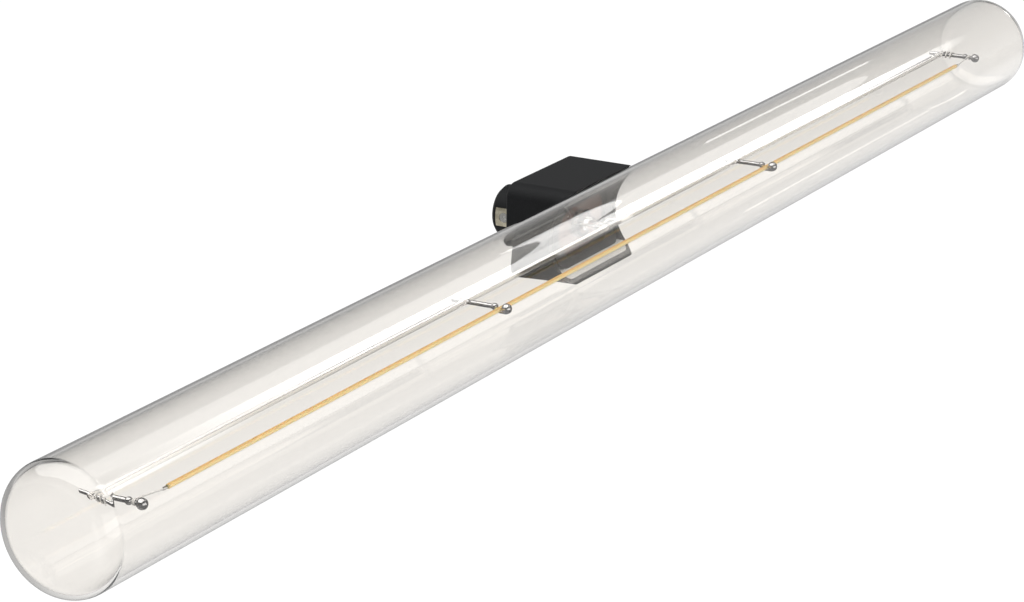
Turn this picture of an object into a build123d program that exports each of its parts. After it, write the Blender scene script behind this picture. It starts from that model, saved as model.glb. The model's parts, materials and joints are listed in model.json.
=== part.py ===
"""Tubular LED filament lamp with one cap at the middle of its glass tube.

Millimetres. X runs along the tube, +Y points from the tube to the lamp holder, Z is up.
The origin is the middle of the cap's seat face, where the round peg stands.
"""
import os
from math import copysign, cos, degrees, radians, sin, sqrt

from build123d import *

# Glass tube, closed by a lightly crowned disc at each end
tube_length = 500.0
tube_diameter = 30.0
glass_wall = 1.0
shoulder_radius = 5.0
end_lean = 9.0
neck_diameter = 8.0
neck_height = 1.2
neck_blend = 0.6

# Glass stem sealed into the neck, and the glass rod that it carries along the tube
flange_thickness = 0.8
stem_diameter = 4.6
stem_wall = 0.5
stem_tube_height = 3.0
pinch_height = 3.2
pinch_thickness = 2.4
pinch_rounding = 0.95
exhaust_diameter = 2.0
exhaust_wall = 0.4
exhaust_tip_height = 3.5
exhaust_tip_rounding = 0.9
pillar_diameter = 1.6
rod_diameter = 1.6
rod_bead_diameter = 2.2
rod_to_axis = 6.4
rod_overhang = 1.4
melt_gap = 0.05

# Support posts, headed steel wires that stand in the glass rod
post_count = 4
post_from_filament = 11.65
post_diameter = 1.2
post_foot_length = 2.7
post_foot_chamfer = 0.2
bead_diameter = 1.8
ball_diameter = 2.6
neck_wire_diameter = 0.5
hook_bend = 0.35
end_neck_diameter = 0.7

# Light-emitting filament, a coated strip with a bare lug at each end
filament_from_end = 35.9
filament_size = 1.1
filament_rounding = 0.45
filament_ahead = 3.45
filament_drop = 0.4
strip_width = 0.7
strip_thickness = 0.25
lug_length = 1.7

# Wires inside the tube
lead_diameter = 0.5
lead_bend = 0.9
lead_shift = 2.7
lead_turns = 2.25
lead_turn_pitch = 1.4
lead_tail = 0.9
lead_clearance = 0.1
tail_diameter = 0.35
tail_turns = 1.5
wire_gap = 0.03

# Cap, a moulded box with a round peg
cap_depth = 12.0
cap_length = 37.0
cap_width = 26.0
cap_corner = 4.0
cap_wall = 1.4
cap_floor = 2.0
cap_grip = 7.0
cap_edge = 1.0
seat_gap = 0.1
peg_diameter = 14.0
peg_length = 11.0
peg_chamfer = 1.0
peg_wall = 2.4
boss_diameter = 2.6
slot_gap = 0.1

# Contact strips, flush with the peg
contact_thickness = 0.8
contact_angle = 42.0
contact_from_seat = 0.5
contact_length = 9.0
contact_tail = 2.6
contact_tail_thickness = 0.4
contact_tail_angle = 24.0
rivet_diameter = 1.6
rivet_head_diameter = 2.6
rivet_head_height = 0.5
rivet_from_seat = 7.0

# Tray that holds the board against the glass, and the cement beside it
tray_end_gap = 1.1
tray_corner = 3.0
tray_thickness = 1.2
tray_gap = 0.3
tray_end_bar = 3.0
tray_side_bar = 1.7
window_corner = 6.0
cement_depth = 3.0
cement_width = 2.2

# Driver board and what is soldered to it
board_inset = 0.2
board_corner = 2.5
board_thickness = 1.0
board_hole_gap = 0.3
can_diameter = 5.4
can_length = 11.0
can_lead_diameter = 0.5
can_lead_reach = 1.0
can_lead_spacing = 2.0
can_crimp_depth = 0.3
can_from_end = 2.8
film_height = 6.0
film_edge = 0.5
film_from_end = 0.6
film_from_side = 2.9
film_from_wire = 1.0
film_from_choke = 1.5
choke_diameter = 6.4
choke_height = 5.6
choke_waist_diameter = 3.0
choke_flange = 0.8
choke_winding_depth = 1.3
choke_winding_edge = 0.25
choke_from_end = 4.4
choke_from_side = 2.6
chip_length = 4.0
chip_width = 3.0
chip_height = 1.7
chip_leg_width = 0.5
chip_leg_reach = 0.7
chip_leg_pitch = 1.27
chip_standoff = 0.15
chip_from_end = 7.8
chip_from_side = 2.6
fuse_diameter = 2.2
fuse_barrel_diameter = 1.9
fuse_length = 6.0
fuse_end_length = 1.7
fuse_edge = 0.4
fuse_lead_diameter = 0.5
fuse_lead_reach = 1.4
fuse_from_side = 1.3
disc_diameter = 5.2
disc_thickness = 2.2
disc_edge = 0.6
disc_from_side = 1.4
solder_lift = 0.05

# Insulated wires between the contact strips and the board
supply_wire_diameter = 1.2
supply_wire_bend = 0.9
supply_wire_shift = 3.2
supply_wire_lead = 0.3
lead_pad_x = 3.0
lead_pad_from_side = 3.0
lead_loop_height = 1.1

# Places worked out from the sizes above
tube_radius = tube_diameter / 2
tube_y = -(cap_depth + tube_radius)
tube_back_y = tube_y + tube_radius
tube_axis = Axis((0, tube_y, 0), (1, 0, 0))
stem_axis = Axis((0, 0, 0), (0, 1, 0))
neck_radius = neck_diameter / 2
neck_bore_radius = neck_radius - glass_wall
neck_rim_y = tube_back_y + neck_height
flange_y = neck_rim_y + flange_thickness
exhaust_tip_y = flange_y + exhaust_tip_height
rod_y = tube_y + rod_to_axis
rod_radius = rod_diameter / 2
post_radius = post_diameter / 2
filament_length = tube_length - 2 * filament_from_end
end_post_x = filament_length / 2 + post_from_filament
post_xs = [end_post_x * (2 * i / (post_count - 1) - 1) for i in range(post_count)]
filament_y = tube_y - filament_ahead
bead_y = filament_y + filament_size / 2 + bead_diameter / 2
ball_y = filament_y - filament_size / 2 - ball_diameter / 2
post_foot_y = rod_y + rod_bead_diameter / 2 + post_foot_length
lead_radius = lead_diameter / 2
stem_wire_x = (exhaust_diameter + stem_diameter - 2 * stem_wall) / 4
board_front_y = tube_back_y + tray_gap + tray_thickness
board_back_y = board_front_y + board_thickness
tray_length = cap_length - 2 * (cap_wall + tray_end_gap)
tray_width = cap_width - 2 * (cap_wall + cement_width)
board_length = tray_length - 2 * board_inset
board_width = tray_width - 2 * board_inset
lead_pad_z = lead_pad_from_side - board_width / 2
cap_front_y = tube_back_y - cap_grip


def level(y):
    """Work plane across Y at y: its axes are X and Z, and it faces the tube, towards -Y."""
    return Plane.XZ.offset(-y)


def save(piece, name):
    """Label a finished piece and write its STEP file."""
    piece.part.label = name
    export_step(piece.part, f"parts/{name}.step")


def tube_outline(inset):
    """Half outline of the tube, inset from its outer surface, ready to revolve."""
    lean = radians(end_lean)
    crown_radius = (tube_radius - shoulder_radius * (1 - sin(lean))) / sin(lean)
    crown_x = tube_length / 2 - crown_radius
    shoulder_x = crown_x + (crown_radius - shoulder_radius) * cos(lean)
    shoulder_y = tube_y + tube_radius - shoulder_radius
    with BuildSketch(Plane.XY) as outline:
        with BuildLine():
            CenterArc((crown_x, tube_y), crown_radius - inset, 0, end_lean)
            CenterArc((shoulder_x, shoulder_y), shoulder_radius - inset, end_lean, 90 - end_lean)
            mirror(about=Plane.YZ)
            Line((-shoulder_x, tube_back_y - inset), (shoulder_x, tube_back_y - inset))
            Line((inset - tube_length / 2, tube_y), (tube_length / 2 - inset, tube_y))
        make_face()
    return outline.sketch


os.makedirs("parts", exist_ok=True)

# Glass tube: drawn tube with pressed ends and a short neck blown out at its back
with BuildPart() as glass_tube:
    add(tube_outline(0))
    revolve(axis=tube_axis)
    with BuildSketch(level(neck_rim_y)):
        Circle(neck_radius)
    extrude(amount=neck_height + tube_radius)
    root = glass_tube.edges().filter_by(GeomType.CIRCLE, reverse=True)
    root = root.filter_by(lambda e: abs(e.center().X) < neck_radius and e.center().Y > tube_y)
    fillet(root, neck_blend)
    add(tube_outline(glass_wall))
    revolve(axis=tube_axis, mode=Mode.SUBTRACT)
    with BuildSketch(level(neck_rim_y)):
        Circle(neck_bore_radius)
    extrude(amount=neck_height + tube_radius, mode=Mode.SUBTRACT)
save(glass_tube, "glass_tube")

# Glass stem: flange on the neck's rim, flared tube, flat pinch and the pillar under the rod
flare_radius = neck_bore_radius - tray_gap
stem_radius = stem_diameter / 2
stem_top_y = neck_rim_y - stem_tube_height
pinch_top_y = stem_top_y - pinch_height
with BuildPart() as glass_stem:
    with BuildSketch(Plane.XY):
        with BuildLine():
            Polyline(
                (stem_radius - stem_wall, stem_top_y),
                (stem_radius, stem_top_y),
                (stem_radius, tube_back_y),
                (flare_radius, neck_rim_y),
                (neck_radius, neck_rim_y),
                (neck_radius, flange_y),
                (flare_radius - stem_wall, flange_y),
                (stem_radius - stem_wall, tube_back_y),
                close=True,
            )
        make_face()
    revolve(axis=stem_axis)
    with BuildSketch(level(stem_top_y)):
        Circle(stem_radius)
    with BuildSketch(level(stem_top_y - pinch_height / 2)):
        RectangleRounded(stem_diameter, pinch_thickness, pinch_rounding)
    loft()
    with BuildSketch(level(stem_top_y - pinch_height / 2)):
        RectangleRounded(stem_diameter, pinch_thickness, pinch_rounding)
    extrude(amount=pinch_height / 2)
    with BuildSketch(level(pinch_top_y)):
        Circle(pillar_diameter / 2)
    extrude(amount=pinch_top_y - rod_y)
    with BuildSketch(level(exhaust_tip_y)):
        Circle(exhaust_diameter / 2)
    extrude(amount=exhaust_tip_y - stem_top_y)
    fillet(glass_stem.edges().sort_by(Axis.Y)[-1], exhaust_tip_rounding)
    exhaust_bore_y = exhaust_tip_y - exhaust_diameter / 2
    with BuildSketch(level(exhaust_bore_y)):
        Circle(exhaust_diameter / 2 - exhaust_wall)
    extrude(amount=exhaust_bore_y - stem_top_y, mode=Mode.SUBTRACT)
    with BuildSketch(Plane.YZ):
        with Locations((rod_y, 0)):
            Circle(rod_radius + melt_gap)
    extrude(amount=stem_radius, both=True, mode=Mode.SUBTRACT)
    with BuildSketch(level(stem_top_y)):
        with Locations((-stem_wire_x, 0), (stem_wire_x, 0)):
            Circle(lead_radius + wire_gap)
    extrude(amount=pinch_height, mode=Mode.SUBTRACT)
save(glass_stem, "glass_stem")

# Support rod: clear glass rod with a bead melted round each post
with BuildPart() as support_rod:
    with BuildSketch(Plane.YZ):
        with Locations((rod_y, 0)):
            Circle(rod_radius)
    extrude(amount=end_post_x + rod_overhang, both=True)
    with Locations(*[(x, rod_y, 0) for x in post_xs]):
        Sphere(rod_bead_diameter / 2)
    with BuildSketch(level(rod_y + rod_bead_diameter)):
        with Locations(*[(x, 0) for x in post_xs]):
            Circle(post_radius + wire_gap)
    extrude(amount=2 * rod_bead_diameter, mode=Mode.SUBTRACT)
save(support_rod, "support_rod")


def support_post(x, is_end):
    """A headed wire. The filament lies between its bead and its ball, and at the two middle
    posts a thin hook passes under the filament. The end posts have a plain neck there."""
    with BuildPart() as post:
        with BuildSketch(level(post_foot_y)):
            with Locations((x, 0)):
                Circle(post_radius)
        extrude(amount=post_foot_y - bead_y)
        chamfer(post.edges().sort_by(Axis.Y)[-1], post_foot_chamfer)
        with Locations((x, bead_y, 0)):
            Sphere(bead_diameter / 2)
        with Locations((x, ball_y, 0)):
            Sphere(ball_diameter / 2)
        if is_end:
            with BuildSketch(level(bead_y)):
                with Locations((x, 0)):
                    Circle(end_neck_diameter / 2)
            extrude(amount=bead_y - ball_y)
        else:
            hook_z = -(filament_drop + filament_size / 2 + neck_wire_diameter / 2 + wire_gap)
            with BuildLine() as hook:
                FilletPolyline(
                    (x, bead_y, 0), (x, bead_y, hook_z), (x, ball_y, hook_z), (x, ball_y, 0),
                    radius=hook_bend,
                )
            with BuildSketch(Plane(origin=(x, bead_y, 0), z_dir=(0, 0, -1))):
                Circle(neck_wire_diameter / 2)
            sweep(path=hook.line)
    return post


# Support posts, numbered from the -X end
for number, x in enumerate(post_xs, start=1):
    save(support_post(x, number in (1, post_count)), f"support_post_{number}")

# Filament strip: flexible circuit with the light chips, bare metal at its two lugs
with BuildPart() as filament_strip:
    with BuildSketch(Plane.YZ):
        with Locations((filament_y, -filament_drop)):
            Rectangle(strip_thickness, strip_width)
    extrude(amount=filament_length / 2 + lug_length, both=True)
save(filament_strip, "filament_strip")

# Filament coat: silicone with yellow phosphor, moulded round the strip
with BuildPart() as filament_coat:
    with BuildSketch(Plane.YZ):
        with Locations((filament_y, -filament_drop)):
            RectangleRounded(filament_size, filament_size, filament_rounding)
            Rectangle(strip_thickness, strip_width, mode=Mode.SUBTRACT)
    extrude(amount=filament_length / 2, both=True)
save(filament_coat, "filament_coat")


def filament_tail(side):
    """Wire from a lug to the neck of the end post, wound round the neck."""
    tail_radius = tail_diameter / 2
    wrap_radius = end_neck_diameter / 2 + tail_radius + wire_gap
    wrap_pitch = tail_diameter + wire_gap
    wrap_y = filament_y + tail_turns * wrap_pitch / 2
    lug_x = filament_length / 2 + lug_length / 2
    lug_y = filament_y - strip_thickness / 2 - tail_radius - solder_lift
    start = Plane(origin=(side * end_post_x, wrap_y, 0), x_dir=(0, 0, 1), z_dir=(0, -1, 0))
    wrap = start * Helix(wrap_pitch, tail_turns * wrap_pitch, wrap_radius, lefthand=side > 0)
    with BuildPart() as tail:
        with BuildLine() as run:
            Line((side * lug_x, lug_y, -filament_drop), wrap @ 0)
        with BuildSketch(Plane(origin=run.line @ 0, z_dir=run.line % 0)):
            Circle(tail_radius)
        sweep(path=run.line)
        with BuildSketch(Plane(origin=wrap @ 0, z_dir=wrap % 0)):
            Circle(tail_radius)
        sweep(path=wrap, is_frenet=True)
    return tail


for side, name in ((-1, "left"), (1, "right")):
    save(filament_tail(side), f"filament_tail_{name}")


def lead_in_wire(side):
    """Wire from the board through the glass stem, along the glass rod and round the end post."""
    lift = post_radius + lead_radius + wire_gap
    reach = rod_bead_diameter / 2 + lead_radius + lead_clearance
    pass_z = rod_radius + lead_radius + lead_clearance
    run_y = rod_y - sqrt(reach * reach - lift * lift)
    loop_y = board_back_y + lead_loop_height
    pad_y = board_back_y + lead_radius + solder_lift
    start = Plane(origin=(side * end_post_x, run_y, 0), x_dir=(0, 0, 1), z_dir=(0, -1, 0))
    wrap_height = lead_turns * lead_turn_pitch
    wrap = start * Helix(lead_turn_pitch, wrap_height, lift, lefthand=side > 0)
    with BuildPart() as wire:
        with BuildLine() as run:
            FilletPolyline(
                (side * lead_pad_x, pad_y, lead_pad_z),
                (side * stem_wire_x, loop_y, 0),
                (side * stem_wire_x, pinch_top_y - lead_bend, 0),
                (side * (stem_wire_x + lead_bend), rod_y + rod_radius + lead_bend, pass_z),
                (side * (stem_wire_x + lead_shift), run_y, pass_z),
                wrap @ 0,
                radius=lead_bend,
            )
        with BuildSketch(Plane(origin=run.line @ 0, z_dir=run.line % 0)):
            Circle(lead_radius)
        sweep(path=run.line)
        with BuildSketch(Plane(origin=wrap @ 0, z_dir=wrap % 0)):
            Circle(lead_radius)
        sweep(path=wrap, is_frenet=True)
        with BuildSketch(Plane(origin=wrap @ 1, z_dir=wrap % 1)):
            Circle(lead_radius)
        extrude(amount=lead_tail)
    return wire


for side, name in ((-1, "left"), (1, "right")):
    save(lead_in_wire(side), f"lead_in_wire_{name}")

# Cap housing: moulded box that hugs the tube, with a hollow round peg and four bosses inside
peg_radius = peg_diameter / 2
peg_bore_radius = peg_radius - peg_wall
contact_inner_radius = peg_radius - contact_thickness
rivet_face_x = sqrt(peg_radius**2 - (rivet_head_diameter / 2) ** 2)
rivet_seat_x = sqrt(peg_bore_radius**2 - (rivet_head_diameter / 2) ** 2)
boss_x = board_length / 2 - boss_diameter / 4
boss_z = board_width / 2 - boss_diameter / 2
contact_tail_radius = contact_inner_radius + contact_tail_thickness
slot_side = 2 * degrees(slot_gap / contact_inner_radius)
contact_end_y = contact_from_seat + contact_length
slot_end_y = contact_end_y + slot_gap


def ring_sectors(y, inner, outer, angle, sides):
    """Parts of a ring about the peg's axis, on the level y, centred on the +X or -X sides."""
    with BuildSketch(level(y)) as sectors:
        for side in sides:
            middle = 90 - 90 * side
            with BuildLine():
                low = CenterArc((0, 0), inner, middle - angle / 2, angle)
                high = CenterArc((0, 0), outer, middle - angle / 2, angle)
                Line(low @ 0, high @ 0)
                Line(low @ 1, high @ 1)
            make_face()
    return sectors.sketch


with BuildPart() as cap_housing:
    with BuildSketch(level(0)):
        RectangleRounded(cap_length, cap_width, cap_corner)
    extrude(amount=-cap_front_y)
    fillet(cap_housing.edges().group_by(Axis.Y)[-1], cap_edge)
    with BuildSketch(level(-cap_floor)):
        RectangleRounded(cap_length - 2 * cap_wall, cap_width - 2 * cap_wall, cap_corner - cap_wall)
    extrude(amount=-cap_front_y - cap_floor, mode=Mode.SUBTRACT)
    with BuildSketch(level(-cap_floor)):
        with GridLocations(2 * boss_x, 2 * boss_z, 2, 2):
            Circle(boss_diameter / 2)
    extrude(amount=-board_back_y - cap_floor)
    with BuildSketch(level(peg_length)):
        Circle(peg_radius)
    extrude(amount=peg_length)
    chamfer(cap_housing.edges().group_by(Axis.Y)[-1], peg_chamfer)
    with BuildSketch(level(peg_length - cap_floor)):
        Circle(peg_bore_radius)
    extrude(amount=peg_length, mode=Mode.SUBTRACT)
    slot_radius = contact_inner_radius - slot_gap
    slots = ring_sectors(
        slot_end_y, slot_radius, peg_radius + slot_gap, contact_angle + slot_side, (-1, 1)
    )
    extrude(slots, amount=slot_end_y - contact_from_seat, mode=Mode.SUBTRACT)
    slots = ring_sectors(
        contact_from_seat,
        slot_radius,
        contact_tail_radius + slot_gap,
        contact_tail_angle + slot_side,
        (-1, 1),
    )
    extrude(slots, amount=contact_from_seat + cap_floor, mode=Mode.SUBTRACT)
    with BuildSketch(Plane.YZ):
        with Locations((rivet_from_seat, 0)):
            Circle(rivet_diameter / 2 + wire_gap)
    extrude(amount=peg_radius, both=True, mode=Mode.SUBTRACT)
    with BuildSketch(Plane.YZ):
        with Locations((tube_y, 0)):
            Circle(tube_radius + seat_gap)
    extrude(amount=cap_length, both=True, mode=Mode.SUBTRACT)
save(cap_housing, "cap_housing")

# Contact strips: nickelled brass, curved like the peg, with a narrow tail through the floor
for side, name in ((-1, "left"), (1, "right")):
    with BuildPart() as contact:
        strip = ring_sectors(
            contact_end_y, contact_inner_radius, peg_radius, contact_angle, (side,)
        )
        extrude(strip, amount=contact_length)
        tail = ring_sectors(
            contact_from_seat, contact_inner_radius, contact_tail_radius, contact_tail_angle, (side,)
        )
        extrude(tail, amount=contact_from_seat + cap_floor + contact_tail)
        with Locations(Plane(origin=(side * rivet_face_x, rivet_from_seat, 0), z_dir=(side, 0, 0))):
            CounterSinkHole(
                rivet_diameter / 2 + wire_gap,
                rivet_head_diameter / 2 + wire_gap,
                depth=2 * contact_thickness,
                counter_sink_angle=90,
            )
    save(contact, f"contact_strip_{name}")

# Contact rivets: countersunk outside, closed with a flat head inside the peg
rivet_side_y = rivet_from_seat + rivet_diameter / 2
rivet_head_y = rivet_from_seat + rivet_head_diameter / 2
with BuildPart() as contact_rivets:
    with BuildSketch(Plane.XY):
        with BuildLine():
            Polyline(
                (rivet_face_x, rivet_from_seat),
                (rivet_face_x, rivet_head_y),
                (rivet_face_x - (rivet_head_y - rivet_side_y), rivet_side_y),
                (rivet_seat_x, rivet_side_y),
                (rivet_seat_x, rivet_head_y),
                (rivet_seat_x - rivet_head_height, rivet_head_y),
                (rivet_seat_x - rivet_head_height, rivet_from_seat),
                close=True,
            )
        make_face()
    revolve(axis=Axis((0, rivet_from_seat, 0), (1, 0, 0)))
    mirror(about=Plane.YZ)
save(contact_rivets, "contact_rivets")

# Driver tray: insulating frame between the glass and the board, with a window
tray_radius = tube_radius + tray_gap
tray_edge_y = tube_y + sqrt(tray_radius**2 - (tray_width / 2) ** 2)
with BuildPart() as driver_tray:
    with BuildSketch(level(board_front_y)):
        RectangleRounded(tray_length, tray_width, tray_corner)
        RectangleRounded(
            tray_length - 2 * tray_end_bar,
            tray_width - 2 * tray_side_bar,
            window_corner,
            mode=Mode.SUBTRACT,
        )
    extrude(amount=board_front_y - tray_edge_y)
    with BuildSketch(Plane.YZ):
        with Locations((tube_y, 0)):
            Circle(tray_radius)
    extrude(amount=tray_length, both=True, mode=Mode.SUBTRACT)
save(driver_tray, "driver_tray")

# Basing cement: fills both long sides between the housing and the tray, set against the glass
cement_back_y = tube_y + sqrt(tube_radius**2 - (tray_width / 2) ** 2) + cement_depth
with BuildPart() as basing_cement:
    with BuildSketch(level(cement_back_y)):
        RectangleRounded(cap_length - 2 * cap_wall, cap_width - 2 * cap_wall, cap_corner - cap_wall)
        Rectangle(cap_length, tray_width, mode=Mode.SUBTRACT)
    extrude(amount=cement_back_y - cap_front_y)
    with BuildSketch(Plane.YZ):
        with Locations((tube_y, 0)):
            Circle(tube_radius)
    extrude(amount=cap_length, both=True, mode=Mode.SUBTRACT)
save(basing_cement, "basing_cement")

# Driver board: one-sided laminate with a round hole for the neck and holes for the leads
can_x = board_length / 2 - can_from_end
can_lead_z = -can_length / 2 - can_lead_reach
can_lead_xs = [can_x + side * can_lead_spacing / 2 for side in (-1, 1)]
fuse_z = fuse_from_side - board_width / 2
fuse_lead_xs = [side * (fuse_length / 2 + fuse_lead_reach) for side in (-1, 1)]
with BuildPart() as driver_board:
    with BuildSketch(level(board_back_y)):
        RectangleRounded(board_length, board_width, board_corner)
        Circle(neck_radius + board_hole_gap, mode=Mode.SUBTRACT)
        with Locations(*[(x, can_lead_z) for x in can_lead_xs]):
            Circle(can_lead_diameter / 2 + wire_gap, mode=Mode.SUBTRACT)
        with Locations(*[(x, fuse_z) for x in fuse_lead_xs]):
            Circle(fuse_lead_diameter / 2 + wire_gap, mode=Mode.SUBTRACT)
    extrude(amount=board_thickness)
save(driver_board, "driver_board")

# Smoothing capacitor: aluminium can lying on the board, crimped near its leads
can_y = board_back_y + can_diameter / 2 + solder_lift
can_radius = can_diameter / 2
crimp_z = can_diameter / 4 - can_length / 2
with BuildPart() as smoothing_capacitor:
    with BuildSketch(Plane.XY.offset(-can_length / 2)):
        with Locations((can_x, can_y)):
            Circle(can_radius)
    extrude(amount=can_length)
    chamfer(smoothing_capacitor.edges().filter_by(GeomType.CIRCLE), can_crimp_depth)
    with BuildSketch(Plane.XY.offset(crimp_z)):
        with Locations((can_x, can_y)):
            Circle(can_radius)
            Circle(can_radius - can_crimp_depth, mode=Mode.SUBTRACT)
    extrude(amount=can_crimp_depth, both=True, mode=Mode.SUBTRACT)
    for x in can_lead_xs:
        with BuildLine() as lead:
            FilletPolyline(
                (x, can_y, -can_length / 2),
                (x, can_y, can_lead_z),
                (x, board_front_y, can_lead_z),
                radius=can_lead_reach / 2,
            )
        with BuildSketch(Plane(origin=lead.line @ 0, z_dir=lead.line % 0)):
            Circle(can_lead_diameter / 2)
        sweep(path=lead.line)
save(smoothing_capacitor, "smoothing_capacitor")

# Film capacitor: potted box in the corner between the board's end, the left supply wire and the choke
supply_x = (contact_tail_radius + contact_inner_radius) / 2
film_length = board_length / 2 - film_from_end - supply_x - supply_wire_diameter / 2 - film_from_wire
film_width = board_width - film_from_side - film_from_choke - choke_diameter - choke_from_side
film_x = film_from_end + film_length / 2 - board_length / 2
film_z = film_from_side + film_width / 2 - board_width / 2
with BuildPart() as film_capacitor:
    with BuildSketch(level(board_back_y + film_height)):
        with Locations((film_x, film_z)):
            RectangleRounded(film_length, film_width, film_edge)
    extrude(amount=film_height)
    chamfer(film_capacitor.edges().group_by(Axis.Y)[-1], film_edge / 2)
save(film_capacitor, "film_capacitor")

# Choke: ferrite drum with its coil of wire wound in the waist
choke_x = choke_from_end - board_length / 2
choke_z = board_width / 2 - choke_from_side - choke_diameter / 2
with BuildPart() as choke_core:
    with BuildSketch(level(board_back_y + choke_height)):
        with Locations((choke_x, choke_z)):
            Circle(choke_diameter / 2)
    extrude(amount=choke_height)
    with BuildSketch(level(board_back_y + choke_height - choke_flange)):
        with Locations((choke_x, choke_z)):
            Circle(choke_diameter / 2)
            Circle(choke_waist_diameter / 2, mode=Mode.SUBTRACT)
    extrude(amount=choke_height - 2 * choke_flange, mode=Mode.SUBTRACT)
save(choke_core, "choke_core")

winding_radius = choke_waist_diameter / 2 + choke_winding_depth
with BuildPart() as choke_winding:
    with BuildSketch(level(board_back_y + choke_height - choke_flange)):
        with Locations((choke_x, choke_z)):
            Circle(winding_radius)
            Circle(choke_waist_diameter / 2, mode=Mode.SUBTRACT)
    extrude(amount=choke_height - 2 * choke_flange)
    rims = choke_winding.edges().filter_by(GeomType.CIRCLE).group_by(SortBy.RADIUS)[-1]
    chamfer(rims, choke_winding_edge)
save(choke_winding, "choke_winding")


chip_x = board_length / 2 - chip_from_end
chip_z = board_width / 2 - chip_from_side


def gull_wing_chip(z):
    """Moulded chip with four legs on each side that reach the board."""
    leg_count = int(chip_length / chip_leg_pitch)
    leg_span = chip_width + 2 * chip_leg_reach
    with BuildPart() as chip:
        with BuildSketch(level(board_back_y + chip_standoff + chip_height)):
            with Locations((chip_x, z)):
                Rectangle(chip_length, chip_width)
        extrude(amount=chip_height)
        chamfer(chip.edges().group_by(Axis.Y)[-1], chip_standoff)
        with BuildSketch(level(board_back_y + chip_height / 2)):
            with Locations((chip_x, z)):
                with GridLocations(chip_leg_pitch, 0, leg_count, 1):
                    Rectangle(chip_leg_width, leg_span)
        extrude(amount=chip_standoff)
        with BuildSketch(level(board_back_y + chip_height / 2)):
            with Locations((chip_x, z)):
                with GridLocations(chip_leg_pitch, leg_span - chip_standoff, leg_count, 2):
                    Rectangle(chip_leg_width, chip_standoff)
        extrude(amount=chip_height / 2)
    return chip


save(gull_wing_chip(chip_z), "rectifier_chip")
save(gull_wing_chip(-chip_z), "driver_chip")

# Fuse resistor: axial body with capped ends, its leads bent down to the board
fuse_y = board_back_y + fuse_diameter / 2 + solder_lift
fuse_end_x = fuse_length / 2
fuse_barrel_y = fuse_y + fuse_barrel_diameter / 2
fuse_cap_y = fuse_y + fuse_diameter / 2
with BuildPart() as fuse_resistor:
    with BuildSketch(Plane.XY.offset(fuse_z)):
        with BuildLine():
            Polyline(
                (0, fuse_y),
                (0, fuse_barrel_y),
                (fuse_end_x - fuse_end_length, fuse_barrel_y),
                (fuse_end_x - fuse_end_length + fuse_edge, fuse_cap_y),
                (fuse_end_x - fuse_edge, fuse_cap_y),
                (fuse_end_x, fuse_cap_y - fuse_edge),
                (fuse_end_x, fuse_y),
                close=True,
            )
        make_face()
    revolve(axis=Axis((0, fuse_y, fuse_z), (1, 0, 0)))
    mirror(about=Plane.YZ)
    for lead_x in fuse_lead_xs:
        with BuildLine() as lead:
            FilletPolyline(
                (copysign(fuse_end_x, lead_x), fuse_y, fuse_z),
                (lead_x, fuse_y, fuse_z),
                (lead_x, board_front_y, fuse_z),
                radius=fuse_lead_reach / 2,
            )
        with BuildSketch(Plane(origin=lead.line @ 0, z_dir=lead.line % 0)):
            Circle(fuse_lead_diameter / 2)
        sweep(path=lead.line)
save(fuse_resistor, "fuse_resistor")

# Surge absorber: lacquered disc that stands on the board
disc_z = board_width / 2 - disc_from_side
with BuildPart() as surge_absorber:
    with BuildSketch(Plane.XY.offset(disc_z - disc_thickness / 2)):
        with Locations((0, board_back_y + disc_diameter / 2)):
            Circle(disc_diameter / 2)
    extrude(amount=disc_thickness)
    chamfer(surge_absorber.edges().filter_by(GeomType.CIRCLE), disc_edge)
save(surge_absorber, "surge_absorber")

# Supply wires: insulated, from each contact strip's tail to the board
tail_end_y = -cap_floor - contact_tail
for side, name in ((-1, "left"), (1, "right")):
    with BuildPart() as supply_wire:
        with BuildLine() as run:
            FilletPolyline(
                (side * supply_x, tail_end_y, 0),
                (side * supply_x, tail_end_y - supply_wire_lead, 0),
                (side * supply_x, board_back_y + supply_wire_lead, side * supply_wire_shift),
                (side * supply_x, board_back_y, side * supply_wire_shift),
                radius=supply_wire_bend,
            )
        with BuildSketch(Plane(origin=run.line @ 0, z_dir=run.line % 0)):
            Circle(supply_wire_diameter / 2)
        sweep(path=run.line)
    save(supply_wire, f"supply_wire_{name}")
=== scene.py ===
import json
from math import acos, cos, pi, radians, sin, sqrt, tan

import bpy
from mathutils import Matrix, Vector

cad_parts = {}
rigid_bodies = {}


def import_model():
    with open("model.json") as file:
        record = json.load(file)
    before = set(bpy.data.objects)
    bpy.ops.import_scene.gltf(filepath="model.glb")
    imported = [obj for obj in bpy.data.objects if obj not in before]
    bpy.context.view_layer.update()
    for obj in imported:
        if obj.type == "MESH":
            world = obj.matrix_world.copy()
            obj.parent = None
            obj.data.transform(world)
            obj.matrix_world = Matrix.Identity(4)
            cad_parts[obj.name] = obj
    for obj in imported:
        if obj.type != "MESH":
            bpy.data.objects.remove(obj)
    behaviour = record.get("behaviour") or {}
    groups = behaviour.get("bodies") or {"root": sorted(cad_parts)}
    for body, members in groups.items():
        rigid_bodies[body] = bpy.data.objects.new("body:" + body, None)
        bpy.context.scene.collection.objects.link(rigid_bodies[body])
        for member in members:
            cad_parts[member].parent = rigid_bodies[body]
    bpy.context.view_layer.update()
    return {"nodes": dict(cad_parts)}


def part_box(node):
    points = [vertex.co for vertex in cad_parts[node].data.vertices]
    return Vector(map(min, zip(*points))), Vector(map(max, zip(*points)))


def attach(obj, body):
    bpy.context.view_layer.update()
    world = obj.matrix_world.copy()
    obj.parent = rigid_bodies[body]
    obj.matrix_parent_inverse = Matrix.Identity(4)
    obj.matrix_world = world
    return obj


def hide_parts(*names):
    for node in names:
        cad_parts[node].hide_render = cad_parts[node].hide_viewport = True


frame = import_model()

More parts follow.
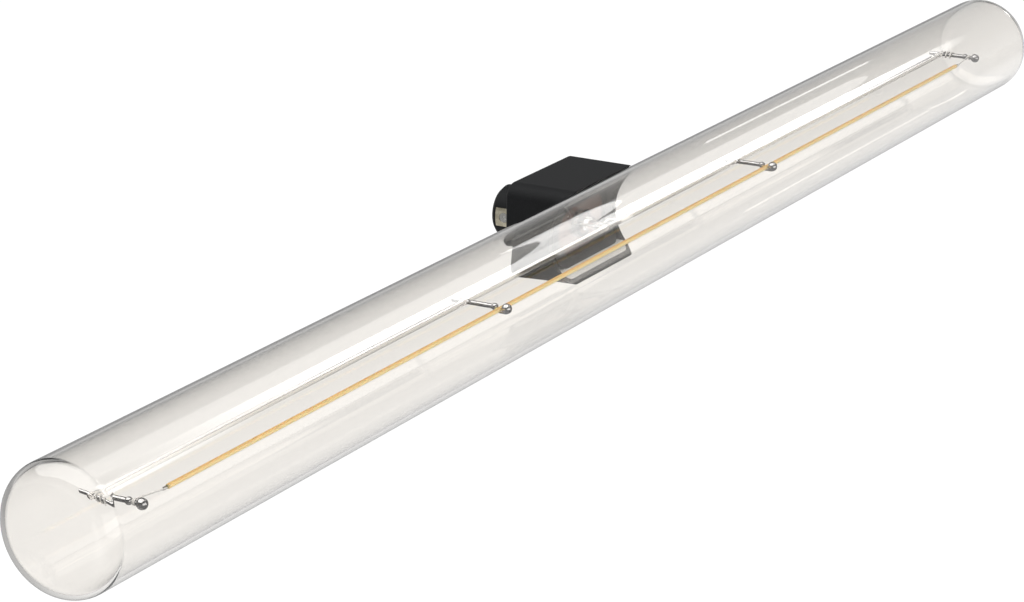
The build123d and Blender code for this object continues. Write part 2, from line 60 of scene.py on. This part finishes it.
# Glass tube: soda-lime glass, drawn as a 1 mm wall, its ends pressed into lightly crowned discs
# and a short neck blown out at the back for the stem. It is turned here ring by ring, so that
# its reflections run straight from end to end.
MM = 0.001
tube_low, tube_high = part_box("glass_tube")
tube_half_length = tube_high.x
tube_radius = (tube_high.z - tube_low.z) / 2
tube_axis_y = tube_low.y + tube_radius
neck_rim_y = tube_high.y
glass_wall = 1.0 * MM
shoulder_radius = 5.0 * MM
end_lean = radians(9.0)
neck_radius = 4.0 * MM
past_rim = 1 * MM
cut_beside_neck = 9 * MM
shoulder_steps = 16
crown_steps = 12
tube_corners = 160
bar_corners = 64
smooth_angle = radians(40)


def deselect_all():
    """Nothing is selected and no object is being edited."""
    for shown in bpy.context.view_layer.objects:
        shown.select_set(False)
    bpy.context.view_layer.objects.active = None


def end_profile(inset):
    """Distance from the middle and radius of each ring of one end, from the barrel to the pole."""
    crown = (tube_radius - shoulder_radius * (1 - sin(end_lean))) / sin(end_lean)
    crown_x = tube_half_length - crown
    shoulder_x = crown_x + (crown - shoulder_radius) * cos(end_lean)
    shoulder_r = tube_radius - shoulder_radius
    rings = []
    for step in range(shoulder_steps + 1):
        turn = pi / 2 - (pi / 2 - end_lean) * step / shoulder_steps
        rings.append((shoulder_x + (shoulder_radius - inset) * cos(turn),
                      shoulder_r + (shoulder_radius - inset) * sin(turn)))
    for step in range(1, crown_steps):
        turn = end_lean * (1 - step / crown_steps)
        rings.append((crown_x + (crown - inset) * cos(turn), (crown - inset) * sin(turn)))
    return rings


def turned(name, rings, axis_y, corners):
    """A closed bar along the tube: a circle is extruded and scaled from ring to ring."""
    deselect_all()
    bpy.ops.mesh.primitive_circle_add(
        vertices=corners, radius=rings[0][1], fill_type="TRIFAN",
        location=(rings[0][0], axis_y, 0), rotation=(0, pi / 2, 0))
    piece = bpy.context.object
    piece.name = name
    bpy.ops.object.transform_apply(location=True, rotation=True, scale=True)
    bpy.ops.object.mode_set(mode="EDIT")
    bpy.ops.mesh.select_mode(type="EDGE")
    bpy.ops.mesh.select_all(action="SELECT")
    bpy.ops.mesh.region_to_loop()
    for (x, radius), (next_x, next_radius) in zip(rings, rings[1:]):
        bpy.ops.mesh.extrude_edges_move(TRANSFORM_OT_translate={"value": (next_x - x, 0, 0)})
        scale = next_radius / radius
        bpy.ops.transform.resize(value=(1, scale, scale), center_override=(next_x, axis_y, 0))
    bpy.ops.mesh.edge_face_add()
    bpy.ops.mesh.poke()
    bpy.ops.mesh.select_all(action="SELECT")
    bpy.ops.mesh.normals_make_consistent(inside=False)
    bpy.ops.object.mode_set(mode="OBJECT")
    return piece


def turned_tube(name, inset):
    """The closed form of the tube, with edges beside the neck to cut between."""
    half = end_profile(inset)
    rings = [(-x, radius) for x, radius in reversed(half)] + half
    tube = turned(name, rings, tube_axis_y, tube_corners)
    bpy.ops.object.mode_set(mode="EDIT")
    for x in (-cut_beside_neck, cut_beside_neck):
        bpy.ops.mesh.select_all(action="SELECT")
        bpy.ops.mesh.bisect(plane_co=(x, 0, 0), plane_no=(1, 0, 0))
    bpy.ops.object.mode_set(mode="OBJECT")
    return tube


def bar_across(radius, low_y, high_y, x=0):
    """A round bar across the tube's axis, from the front to the back."""
    deselect_all()
    bpy.ops.mesh.primitive_cylinder_add(
        vertices=bar_corners, radius=radius, depth=high_y - low_y,
        location=(x, (low_y + high_y) / 2, 0), rotation=(pi / 2, 0, 0))
    bpy.ops.object.transform_apply(location=True, rotation=True, scale=True)
    return bpy.context.object


def join_or_cut(piece, tool, operation):
    """The tool is joined to the piece or cut from it, and then removed."""
    step = piece.modifiers.new("cut", "BOOLEAN")
    step.object = tool
    step.operation = operation
    step.solver = "EXACT"
    deselect_all()
    bpy.context.view_layer.objects.active = piece
    bpy.ops.object.modifier_apply(modifier=step.name)
    bpy.data.objects.remove(tool)


def smooth(piece):
    """Shades the piece smooth, apart from its sharp edges."""
    deselect_all()
    piece.select_set(True)
    bpy.context.view_layer.objects.active = piece
    bpy.ops.object.shade_smooth_by_angle(angle=smooth_angle)


glass_envelope = turned_tube("glass_envelope", 0)
join_or_cut(glass_envelope, bar_across(neck_radius, tube_axis_y, neck_rim_y), "UNION")
glass_hollow = turned_tube("glass_hollow", glass_wall)
join_or_cut(glass_envelope, glass_hollow, "DIFFERENCE")
neck_bore = bar_across(neck_radius - glass_wall, tube_axis_y, neck_rim_y + past_rim)
join_or_cut(glass_envelope, neck_bore, "DIFFERENCE")
smooth(glass_envelope)

# Clear soda-lime glass. Drawing leaves faint waves along the tube and a hardly visible warm grey
# in the wall, and its fire-polished surface stays almost perfectly smooth.
glass_ior = 1.5
wave_width = 9 * MM
wave_stretch = 0.02
wave_height = 0.02 * MM
wave_strength = 0.05
wave_tones = ("#F8F6F3", "#FDFBF8")
least_polish = 0.02


def linear(hex_colour):
    """sRGB hex text, such as "#F4F6F5", as linear red, green, blue and alpha."""
    parts = [int(hex_colour[i:i + 2], 16) / 255 for i in (1, 3, 5)]
    return [p / 12.92 if p <= 0.04045 else ((p + 0.055) / 1.055) ** 2.4 for p in parts] + [1.0]


def new_material(name):
    """An empty material with its shader, and the shader node."""
    material = bpy.data.materials.new(name)
    material.use_nodes = True
    return material, material.node_tree.nodes["Principled BSDF"]


def add_node(owner, kind, settings=None, values=None, links=None):
    """A node with its settings and socket values. A link is from another node's socket."""
    node = owner.node_tree.nodes.new(kind)
    for key, value in (settings or {}).items():
        setattr(node, key, value)
    for key, value in (values or {}).items():
        node.inputs[key].default_value = value
    for key, (source, socket) in (links or {}).items():
        owner.node_tree.links.new(source.outputs[socket], node.inputs[key])
    return node


clear_glass, shader = new_material("clear_soda_lime_glass")
shader.inputs["Transmission Weight"].default_value = 1.0
shader.inputs["IOR"].default_value = glass_ior
place = add_node(clear_glass, "ShaderNodeTexCoord")
stretch = add_node(clear_glass, "ShaderNodeMapping", values={"Scale": (wave_stretch, 1, 1)},
                   links={"Vector": (place, "Object")})
waves = add_node(clear_glass, "ShaderNodeTexNoise",
                 values={"Scale": 1 / wave_width, "Detail": 2.0},
                 links={"Vector": (stretch, "Vector")})
tint = add_node(clear_glass, "ShaderNodeValToRGB", links={"Fac": (waves, "Fac")})
for stop, tone in zip(tint.color_ramp.elements, wave_tones):
    stop.color = linear(tone)
polish = add_node(clear_glass, "ShaderNodeMapRange",
                  values={"To Min": 0.0, "To Max": least_polish},
                  links={"Value": (waves, "Fac")})
ripple = add_node(clear_glass, "ShaderNodeBump",
                  values={"Strength": wave_strength, "Distance": wave_height},
                  links={"Height": (waves, "Fac")})
clear_glass.node_tree.links.new(tint.outputs["Color"], shader.inputs["Base Color"])
clear_glass.node_tree.links.new(polish.outputs["Result"], shader.inputs["Roughness"])
clear_glass.node_tree.links.new(ripple.outputs["Normal"], shader.inputs["Normal"])
glass_envelope.data.materials.append(clear_glass)
glass_envelope.visible_shadow = False
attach(glass_envelope, "root")
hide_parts("glass_tube")

# Glass stem: softer lead-free glass, flared, pinched flat over the wires and melted to the neck
# by flame, as clear as the tube.


def finish_node(name, material):
    """A CAD node gets this material in place of the one it was packed with."""
    node = frame["nodes"][name]
    node.data.materials.clear()
    node.data.materials.append(material)


finish_node("glass_stem", clear_glass)
frame["nodes"]["glass_stem"].visible_shadow = False

# Glass rod: drawn from the same clear glass, with a bead melted round the foot of each post.
# It is turned finely, because a rod with flat sides would throw the light back like a prism.
rod_low, rod_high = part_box("support_rod")
rod_axis_y = (rod_low.y + rod_high.y) / 2
bead_radius = (rod_high.y - rod_low.y) / 2
rod_radius = 0.8 * MM
foot_hole_radius = 0.63 * MM
foot_hole_reach = 3 * MM
post_places = (-225.75 * MM, -75.25 * MM, 75.25 * MM, 225.75 * MM)
bead_steps = 14
rod_corners = 64

bead_edge = acos(-sqrt(bead_radius ** 2 - rod_radius ** 2) / bead_radius)
rod_rings = [(rod_low.x, rod_radius)]
for x in post_places:
    for step in range(bead_steps + 1):
        turn = bead_edge + (pi - 2 * bead_edge) * step / bead_steps
        rod_rings.append((x + bead_radius * cos(turn), bead_radius * sin(turn)))
rod_rings.append((rod_high.x, rod_radius))
drawn_rod = turned("drawn_rod", rod_rings, rod_axis_y, rod_corners)
for x in post_places:
    foot_hole = bar_across(foot_hole_radius, rod_axis_y - foot_hole_reach,
                           rod_axis_y + foot_hole_reach, x)
    join_or_cut(drawn_rod, foot_hole, "DIFFERENCE")
smooth(drawn_rod)
drawn_rod.data.materials.append(clear_glass)
drawn_rod.visible_shadow = False
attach(drawn_rod, "root")
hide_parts("support_rod")

# Support posts: drawn steel wire with headed balls, polished nearly to a mirror. They stand in
# the beads of the glass rod.
dark_spots_end, light_spots_start = 0.3, 0.7
metal_polish_change = 0.3


def spotted(name, dark, light, least_rough, most_rough, grain, detail):
    """A material whose tone and polish change together over spots of the grain's size. It comes
    with its shader and its spots."""
    material, shader = new_material(name)
    place = add_node(material, "ShaderNodeTexCoord")
    spots = add_node(material, "ShaderNodeTexNoise",
                     values={"Scale": 1 / grain, "Detail": detail},
                     links={"Vector": (place, "Object")})
    tone = add_node(material, "ShaderNodeValToRGB", links={"Fac": (spots, "Fac")})
    tone.color_ramp.elements[0].color = linear(dark)
    tone.color_ramp.elements[0].position = dark_spots_end
    tone.color_ramp.elements[1].color = linear(light)
    tone.color_ramp.elements[1].position = light_spots_start
    polish = add_node(material, "ShaderNodeMapRange",
                      values={"To Min": least_rough, "To Max": most_rough},
                      links={"Value": (spots, "Fac")})
    material.node_tree.links.new(tone.outputs["Color"], shader.inputs["Base Color"])
    material.node_tree.links.new(polish.outputs["Result"], shader.inputs["Roughness"])
    return material, shader, spots


def metal(name, dark, light, roughness, grain, bareness=1.0):
    """Metal with a finely spotted polish. A dull skin of oxide makes it less bare."""
    material, shader, _ = spotted(name, dark, light, roughness * (1 - metal_polish_change),
                                  roughness * (1 + metal_polish_change), grain, 4.0)
    shader.inputs["Metallic"].default_value = bareness
    return material


polished_steel = metal("polished_steel_wire", "#B4B4B6", "#CACACC", 0.12, 1.5 * MM)
for number in range(1, 5):
    finish_node(f"support_post_{number}", polished_steel)

# Lead-in wires and filament tails: nickel wire, drawn, wound round the end posts and welded.
# Annealing leaves a pale dull skin, so they hardly show beside the rod.
nickel = metal("annealed_nickel_wire", "#DAD8D5", "#EBE9E6", 0.55, 0.8 * MM, bareness=0.3)
for wire in ("lead_in_wire_left", "lead_in_wire_right",
             "filament_tail_left", "filament_tail_right"):
    finish_node(wire, nickel)

# Filament: a tinned strip that carries the light chips, coated all round with silicone that is
# filled with yellow phosphor. The coat's amber is painted by the way it faces: a browner top is
# painted shade and a paler underside is painted light, and the powder's random tone blurs the line
# between them.
tinned_strip = metal("tinned_steel_strip", "#9E9C97", "#C3C1BB", 0.3, 0.6 * MM)
finish_node("filament_strip", tinned_strip)

powder_grain = 0.7 * MM
powder_change = 0.3
lit_underside_amber, middle_amber, shaded_top_amber = "#FFEDB6", "#FCE09E", "#C99F5C"
middle_turn = 0.55
coat_light_spread = 0.5 * MM
phosphor, shader = new_material("phosphor_silicone")
place = add_node(phosphor, "ShaderNodeTexCoord")
powder = add_node(phosphor, "ShaderNodeTexNoise",
                  values={"Scale": 1 / powder_grain, "Detail": 3.0},
                  links={"Vector": (place, "Object")})
# Painted light and shade: the colour follows how far the surface faces up, darker on top and paler
# underneath.
side = add_node(phosphor, "ShaderNodeNewGeometry")
split = add_node(phosphor, "ShaderNodeSeparateXYZ", links={"Vector": (side, "Normal")})
powder_jitter = add_node(phosphor, "ShaderNodeMath", {"operation": "MULTIPLY_ADD"},
                      {1: powder_change, 2: -powder_change / 2}, {0: (powder, "Fac")})
facing_up = add_node(phosphor, "ShaderNodeMath", {"operation": "ADD"},
                  links={0: (split, "Z"), 1: (powder_jitter, "Value")})
turn = add_node(phosphor, "ShaderNodeMapRange", values={"From Min": -1.0, "From Max": 1.0},
                links={"Value": (facing_up, "Value")})
painted_shade_ramp = add_node(phosphor, "ShaderNodeValToRGB", links={"Fac": (turn, "Result")})
painted_shade_ramp.color_ramp.elements[0].color = linear(lit_underside_amber)
painted_shade_ramp.color_ramp.elements[1].color = linear(shaded_top_amber)
middle_tone = painted_shade_ramp.color_ramp.elements.new(middle_turn)
middle_tone.color = linear(middle_amber)
phosphor.node_tree.links.new(painted_shade_ramp.outputs["Color"], shader.inputs["Base Color"])
shader.inputs["Roughness"].default_value = 0.45
shader.inputs["Subsurface Weight"].default_value = 0.2
shader.inputs["Subsurface Scale"].default_value = coat_light_spread
finish_node("filament_coat", phosphor)

# Cap housing: black glass-filled PBT, moulded in one with its peg. Its outer faces have a fine
# spark-eroded texture, which takes the shine off them.
moulded_polish_change = 0.06
pit_strength = 0.5


def moulded(name, dark, light, roughness, grain, depth, shine=0.5):
    """Moulded, cast or dipped matter with a fine surface texture."""
    material, shader, spots = spotted(name, dark, light, roughness - moulded_polish_change,
                                      roughness + moulded_polish_change, grain, 5.0)
    shader.inputs["Specular IOR Level"].default_value = shine
    pits = add_node(material, "ShaderNodeBump",
                    values={"Strength": pit_strength, "Distance": depth},
                    links={"Height": (spots, "Fac")})
    material.node_tree.links.new(pits.outputs["Normal"], shader.inputs["Normal"])
    return material


black_pbt = moulded("black_moulded_pbt", "#0D0E0F", "#17181A", 0.55, 0.35 * MM, 0.02 * MM,
                    shine=0.2)
finish_node("cap_housing", black_pbt)

# Contact strips and their rivets: brass pressings with bright nickel plating, curved to the peg
# and held flush in it by countersunk steel rivets.
plated_brass = metal("nickel_plated_brass", "#B9B19B", "#D6CFBB", 0.22, 1.2 * MM)
for strip in ("contact_strip_left", "contact_strip_right"):
    finish_node(strip, plated_brass)
rivet_steel = metal("steel_rivet", "#A9A8A4", "#C9C8C4", 0.25, 0.7 * MM)
finish_node("contact_rivets", rivet_steel)

# Driver tray and cement: a black moulded frame, set in light grey mineral cement that holds the
# glass in the housing.
black_nylon = moulded("black_moulded_nylon", "#0B0C0D", "#151618", 0.5, 0.5 * MM, 0.01 * MM,
                      shine=0.2)
finish_node("driver_tray", black_nylon)
grey_cement = moulded("grey_basing_cement", "#C9CCCE", "#E1E4E5", 0.8, 0.5 * MM, 0.06 * MM)
finish_node("basing_cement", grey_cement)

# Driver board: brown phenolic laminate, cut from sheet, with its tinned copper side to the glass.
# Its resin soaks unevenly into the paper, so the brown is a little blotchy.
brown_laminate = moulded("phenolic_laminate", "#4A2A1C", "#6B4030", 0.4, 0.9 * MM, 0.01 * MM)
finish_node("driver_board", brown_laminate)

# Parts on the board: each kind in its own finish, as bought, with its leads through the board's
# holes. A can is drawn, a box and a chip are cast, a core is sintered, and the rest are dipped.
drawn_can = metal("drawn_aluminium_can", "#A6A8AA", "#C6C8CA", 0.3, 1.5 * MM)
finish_node("smoothing_capacitor", drawn_can)
cast_box = moulded("yellow_epoxy_box", "#B68423", "#C9962F", 0.35, 1 * MM, 0.005 * MM)
finish_node("film_capacitor", cast_box)
ferrite = moulded("sintered_ferrite", "#232325", "#343436", 0.6, 0.4 * MM, 0.02 * MM)
finish_node("choke_core", ferrite)
enamelled_copper = metal("enamelled_copper", "#7E3B1C", "#A5562B", 0.3, 0.45 * MM)
finish_node("choke_winding", enamelled_copper)
chip_epoxy = moulded("chip_epoxy", "#161617", "#222224", 0.5, 0.3 * MM, 0.01 * MM)
for chip in ("rectifier_chip", "driver_chip"):
    finish_node(chip, chip_epoxy)
green_lacquer = moulded("green_lacquer", "#3B6147", "#4E785A", 0.35, 0.8 * MM, 0.02 * MM)
finish_node("fuse_resistor", green_lacquer)
blue_lacquer = moulded("blue_lacquer", "#22457C", "#2F5792", 0.35, 0.8 * MM, 0.02 * MM)
finish_node("surge_absorber", blue_lacquer)

# Supply wires: stranded copper in extruded PVC, soldered from the contact strips to the board.
# The sheath is a dull pale grey.
wire_sheath = moulded("pvc_insulation", "#B9B3A9", "#CCC7BD", 0.4, 0.6 * MM, 0.01 * MM)
for wire in ("supply_wire_left", "supply_wire_right"):
    finish_node(wire, wire_sheath)

# Floor: a large sheet of white acrylic, lit from below, well under the lamp. It is white where
# it is seen plainly or through clear glass, and what is mirrored of it is dimmer, most of all
# far behind the lamp.
floor_drop = 0.35
floor_size = 40.0
plain_white = 1.02
floor_inside = 0.12
behind_glass = 0.9
glow_start_y, glow_end_y = -0.7, 1.3
floor_glow = ((-0.6, 0.55), (-0.3, 0.85), (-0.05, 0.9), (0.1, 0.75), (0.35, 0.5), (1.2, 0.35))
deselect_all()
bpy.ops.mesh.primitive_plane_add(size=floor_size, location=(0, 0, -floor_drop))
floor = bpy.context.object
floor.name = "floor"
bpy.ops.object.transform_apply(location=True, rotation=True, scale=True)


def path_strength(owner, plain, inside, behind, mirrored=None):
    """Strength of a light by the way it comes to the eye. Seen plainly or through glass it is
    plain. Thrown back by the front of the tube it is what the node and socket in mirrored give,
    or else plain. Thrown back by what lies inside, after 3 glass surfaces or more, it is
    inside, and after 6 or more, as in the rod or the tube's far wall, it is behind."""
    path = add_node(owner, "ShaderNodeLightPath")
    thrown_back = add_node(owner, "ShaderNodeMath", {"operation": "SUBTRACT"},
                           links={0: (path, "Ray Depth"), 1: (path, "Transmission Depth")})
    deep = add_node(owner, "ShaderNodeMapRange",
                    values={"From Min": 2, "From Max": 3, "To Min": plain, "To Max": inside},
                    links={"Value": (path, "Transmission Depth")})
    if mirrored:
        owner.node_tree.links.new(mirrored[0].outputs[mirrored[1]], deep.inputs["To Min"])
    deepest = add_node(owner, "ShaderNodeMapRange",
                       values={"From Min": 5, "From Max": 6, "To Max": behind},
                       links={"Value": (path, "Transmission Depth"), "To Min": (deep, "Result")})
    return add_node(owner, "ShaderNodeMapRange", values={"To Min": plain},
                    links={"Value": (thrown_back, "Value"), "To Max": (deepest, "Result")})


white_floor, shader = new_material("lit_white_acrylic")
shader.inputs["Base Color"].default_value = linear("#3C3C3C")
shader.inputs["Roughness"].default_value = 0.9
shader.inputs["Specular IOR Level"].default_value = 0.0
shader.inputs["Emission Color"].default_value = (1, 1, 1, 1)
place = add_node(white_floor, "ShaderNodeTexCoord")
split = add_node(white_floor, "ShaderNodeSeparateXYZ", links={"Vector": (place, "Object")})
reach = add_node(white_floor, "ShaderNodeMapRange",
                 values={"From Min": glow_start_y, "From Max": glow_end_y},
                 links={"Value": (split, "Y")})
fade = add_node(white_floor, "ShaderNodeValToRGB", links={"Fac": (reach, "Result")})
fade.color_ramp.elements.remove(fade.color_ramp.elements[1])
for y, level in floor_glow:
    stop = fade.color_ramp.elements.new((y - glow_start_y) / (glow_end_y - glow_start_y))
    stop.color = (level, level, level, 1)
fade.color_ramp.elements.remove(fade.color_ramp.elements[0])
glow = path_strength(white_floor, plain_white, floor_inside, behind_glass, (fade, "Color"))
white_floor.node_tree.links.new(glow.outputs["Result"], shader.inputs["Emission Strength"])
floor.data.materials.append(white_floor)

# Studio: a dim room behind white paper, and long strip lights that run beside the lamp. Each is
# placed by its angle round the tube, from the camera's side over the top.
room_inside = 0.08
low_room_glow, high_room_glow = 0.62, 0.2
high_room_starts = 0.42
room = bpy.data.worlds.new("room")
bpy.context.scene.world = room
room.use_nodes = True
room_light = room.node_tree.nodes["Background"]
room_light.inputs["Color"].default_value = linear("#FFFFFF")
direction = add_node(room, "ShaderNodeTexCoord")
split = add_node(room, "ShaderNodeSeparateXYZ", links={"Vector": (direction, "Generated")})
fade = add_node(room, "ShaderNodeMapRange",
                values={"From Min": 0.0, "From Max": high_room_starts,
                        "To Min": low_room_glow, "To Max": high_room_glow},
                links={"Value": (split, "Z")})
glow = path_strength(room, plain_white, room_inside, behind_glass, (fade, "Result"))
room.node_tree.links.new(glow.outputs["Result"], room_light.inputs["Strength"])


def strip_light(name, angles, span, radiance, inside, distance=1.5,
                soft_low=0.0, soft_end=0.0, soft_start=0.0):
    """A light that spans two angles round the tube, and two places along it. Mirrored by what
    lies inside the glass it has the strength inside. It fades out over its soft parts, which are
    given in metres from its low edge, its end and its start."""
    low, high = angles
    start, end = span
    middle, half = radians(low + high) / 2, radians(high - low) / 2
    lamp = bpy.data.lights.new(name, "AREA")
    lamp.shape = "RECTANGLE"
    lamp.size = end - start
    lamp.size_y = 2 * distance * tan(half)
    lamp.energy = pi * lamp.size * lamp.size_y
    lamp.use_nodes = True
    glow = path_strength(lamp, radiance, inside, inside)
    emission = lamp.node_tree.nodes["Emission"]
    place = add_node(lamp, "ShaderNodeTexCoord")
    split = add_node(lamp, "ShaderNodeSeparateXYZ", links={"Vector": (place, "Object")})
    for axis, edge, inner in (("Y", -lamp.size_y / 2, soft_low - lamp.size_y / 2),
                              ("X", lamp.size / 2, lamp.size / 2 - soft_end),
                              ("X", -lamp.size / 2, soft_start - lamp.size / 2)):
        if edge != inner:
            fade = add_node(lamp, "ShaderNodeMapRange",
                            values={"From Min": edge, "From Max": inner},
                            links={"Value": (split, axis)})
            glow = add_node(lamp, "ShaderNodeMath", {"operation": "MULTIPLY"},
                            links={0: (glow, 0), 1: (fade, 0)})
    lamp.node_tree.links.new(glow.outputs[0], emission.inputs["Strength"])
    light = bpy.data.objects.new(name, lamp)
    bpy.context.scene.collection.objects.link(light)
    outward = Vector((0, -cos(middle), sin(middle)))
    along = Vector((1, 0, 0))
    turn = Matrix((along, outward.cross(along), outward)).transposed().to_4x4()
    centre = Vector(((start + end) / 2, tube_axis_y, 0)) + outward * distance
    light.matrix_world = Matrix.Translation(centre) @ turn
    light.visible_camera = False
    return light


strip_light("near_front_strip", (46, 65), (0.3, 1.55), 4.0, 1.1, soft_low=0.06, soft_end=0.3)
strip_light("front_strip", (59, 80), (1.3, 3.75), 4.4, 1.1,
            soft_low=0.05, soft_end=0.6, soft_start=0.45)
strip_light("top_strip", (80, 107), (0.3, 3.26), 0.7, 0.4)
strip_light("window_top_strip", (80, 112), (2.19, 2.41), 2.6, 0.4)
strip_light("window_low_strip", (48, 60), (2.2, 2.41), 2.2, 0.4, soft_low=0.3)
strip_light("back_strip", (131, 136), (2.68, 3.26), 1.2, 2.0)
strip_light("overhead_softbox", (60, 150), (-1.6, 0.4), 1.6, 2.4, distance=1.3)
low_light = strip_light("low_softbox", (-12, 25), (-1.5, 0.5), 1.5, 1.5, distance=1.2)
low_light.visible_glossy = False

# Camera: at the photograph's place, by its fitted position, turn and focal length.
camera_place = Vector((-0.73557, -0.40577, 0.24526))
camera_right = Vector((0.49238, -0.87035, 0.00719))
camera_up = Vector((0.26222, 0.15621, 0.95228))
focal_pixels = 3296
image_width = 1024
sensor_width = 36
camera_data = bpy.data.cameras.new("camera")
camera_data.sensor_width = sensor_width
camera_data.lens = sensor_width * focal_pixels / image_width
camera = bpy.data.objects.new("camera", camera_data)
bpy.context.scene.collection.objects.link(camera)
right = camera_right.normalized()
back = right.cross(camera_up).normalized()
turn = Matrix((right, back.cross(right), back)).transposed().to_4x4()
camera.matrix_world = Matrix.Translation(camera_place) @ turn
bpy.context.scene.camera = camera
bpy.context.scene.view_settings.view_transform = "Standard"
